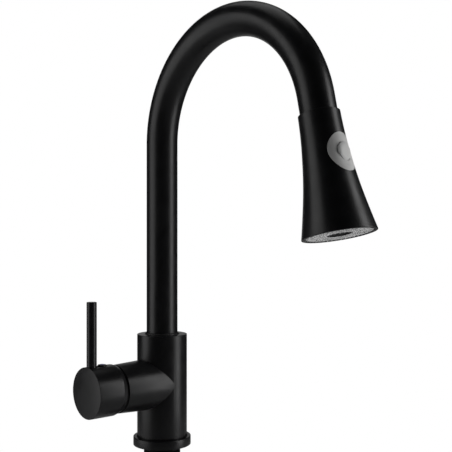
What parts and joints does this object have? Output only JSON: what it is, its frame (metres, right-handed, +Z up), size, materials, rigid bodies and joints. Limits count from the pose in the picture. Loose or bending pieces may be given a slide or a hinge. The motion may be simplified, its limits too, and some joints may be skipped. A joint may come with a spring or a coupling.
{
  "type": "pull down kitchen faucet",
  "caption": "Tall matt black kitchen faucet with a swivelling arched spout, a side pin lever and a flared spray head that pulls down on a hose.",
  "frame": {"origin": "centre of the deck hole, on the worktop's top face under the base", "axes": "+Z up out of the worktop, the spout reaches towards -Y, the handle points towards -X"},
  "size_m": [0.1078, 0.2639, 0.4602],
  "materials": {
    "matt_black": "matt black coating with a fine grain",
    "brass": "machined brass",
    "steel": "plain steel",
    "rubber": "black rubber",
    "white_plastic": "moulded white plastic",
    "black_plastic": "moulded black plastic",
    "ceramic": null,
    "grey_pad": "soft grey rubber",
    "pale_face": "pale grey plastic with a fine texture",
    "nylon_braid": "dark nylon braid",
    "index_blue": "blue plastic"
  },
  "bodies": {
    "faucet_body": {"mixer_body": "matt_black", "base_ring": "matt_black", "base_gasket": "rubber", "mounting_shank": "brass", "deck_washer_rubber": "rubber", "deck_washer_steel": "steel", "shank_nut": "brass", "spout_set_screw": "steel", "hose_in_body": "nylon_braid", "hose_end_connector": "brass", "cartridge_seal": "rubber", "cartridge_base": "white_plastic", "cartridge_housing": "white_plastic", "fixed_disc": "ceramic", "cartridge_nut": "brass", "dome_ring": "black_plastic"},
    "spout": {"spout_tube": "matt_black", "spout_ferrule": "brass", "spout_oring_low": "rubber", "spout_oring_high": "rubber", "spout_slide_ring": "black_plastic", "docking_bush": "white_plastic", "hose_in_spout": "nylon_braid"},
    "valve_carrier": {"stem_carrier": "white_plastic", "stem_pin": "steel"},
    "valve_disc": {"moving_disc": "ceramic"},
    "lever": {"cartridge_stem": "brass", "handle_hub": "matt_black", "lever_pin": "matt_black", "hub_grub_screw": "steel", "index_plug": "black_plastic", "index_mark": "index_blue"},
    "hose_end": {"hose_nut": "brass", "hose_outlet_stretch": "nylon_braid"},
    "spray_head": {"spray_head_shell": "matt_black", "head_waterway": "white_plastic", "filter_washer": "rubber", "check_valve": "black_plastic", "spray_chamber_plate": "white_plastic", "spray_face": "pale_face", "aerator": "black_plastic", "grip_pad": "grey_pad"},
    "button": {"mode_button": "grey_pad", "button_spring": "steel", "diverter_valve": "white_plastic"}
  },
  "joints": [
    {"name": "spout_swivel", "type": "hinge", "parent": "faucet_body", "child": "spout", "pos_m": [0, 0, 0.1], "axis": [0, 0, 1], "continuous": true},
    {"name": "lever_turn", "type": "hinge", "parent": "faucet_body", "child": "valve_carrier", "pos_m": [-0.039, 0, 0.056], "axis": [-1, 0, 0], "range_deg": [-45, 45]},
    {"name": "lever_tilt", "type": "hinge", "parent": "valve_carrier", "child": "lever", "pos_m": [-0.039, 0, 0.056], "axis": [0, -1, 0], "range_deg": [0, 14]},
    {"name": "disc_slide", "type": "slide", "parent": "valve_carrier", "child": "valve_disc", "axis": [0, 0, 1], "range_m": [0, 0.0018]},
    {"name": "head_pull", "type": "slide", "parent": "spout", "child": "hose_end", "axis": [0, -0.2164, -0.9763], "range_m": [0, 0.4], "stiffness_N_per_m": 10, "springref_m": -0.6, "deforming": ["hose_outlet_stretch"]},
    {"name": "head_spin", "type": "hinge", "parent": "hose_end", "child": "spray_head", "pos_m": [0, -0.18996, 0.27931], "axis": [0, -0.2164, -0.9763], "continuous": true},
    {"name": "mode_button_press", "type": "slide", "parent": "spray_head", "child": "button", "axis": [0, 0.9763, -0.2164], "range_m": [0, 0.0012], "stiffness_N_per_m": 400, "springref_m": -0.001, "deforming": ["button_spring"]}
  ],
  "couplings": [
    {"joint": "disc_slide", "follows": "lever_tilt", "m_per_rad": 0.00695}
  ]
}
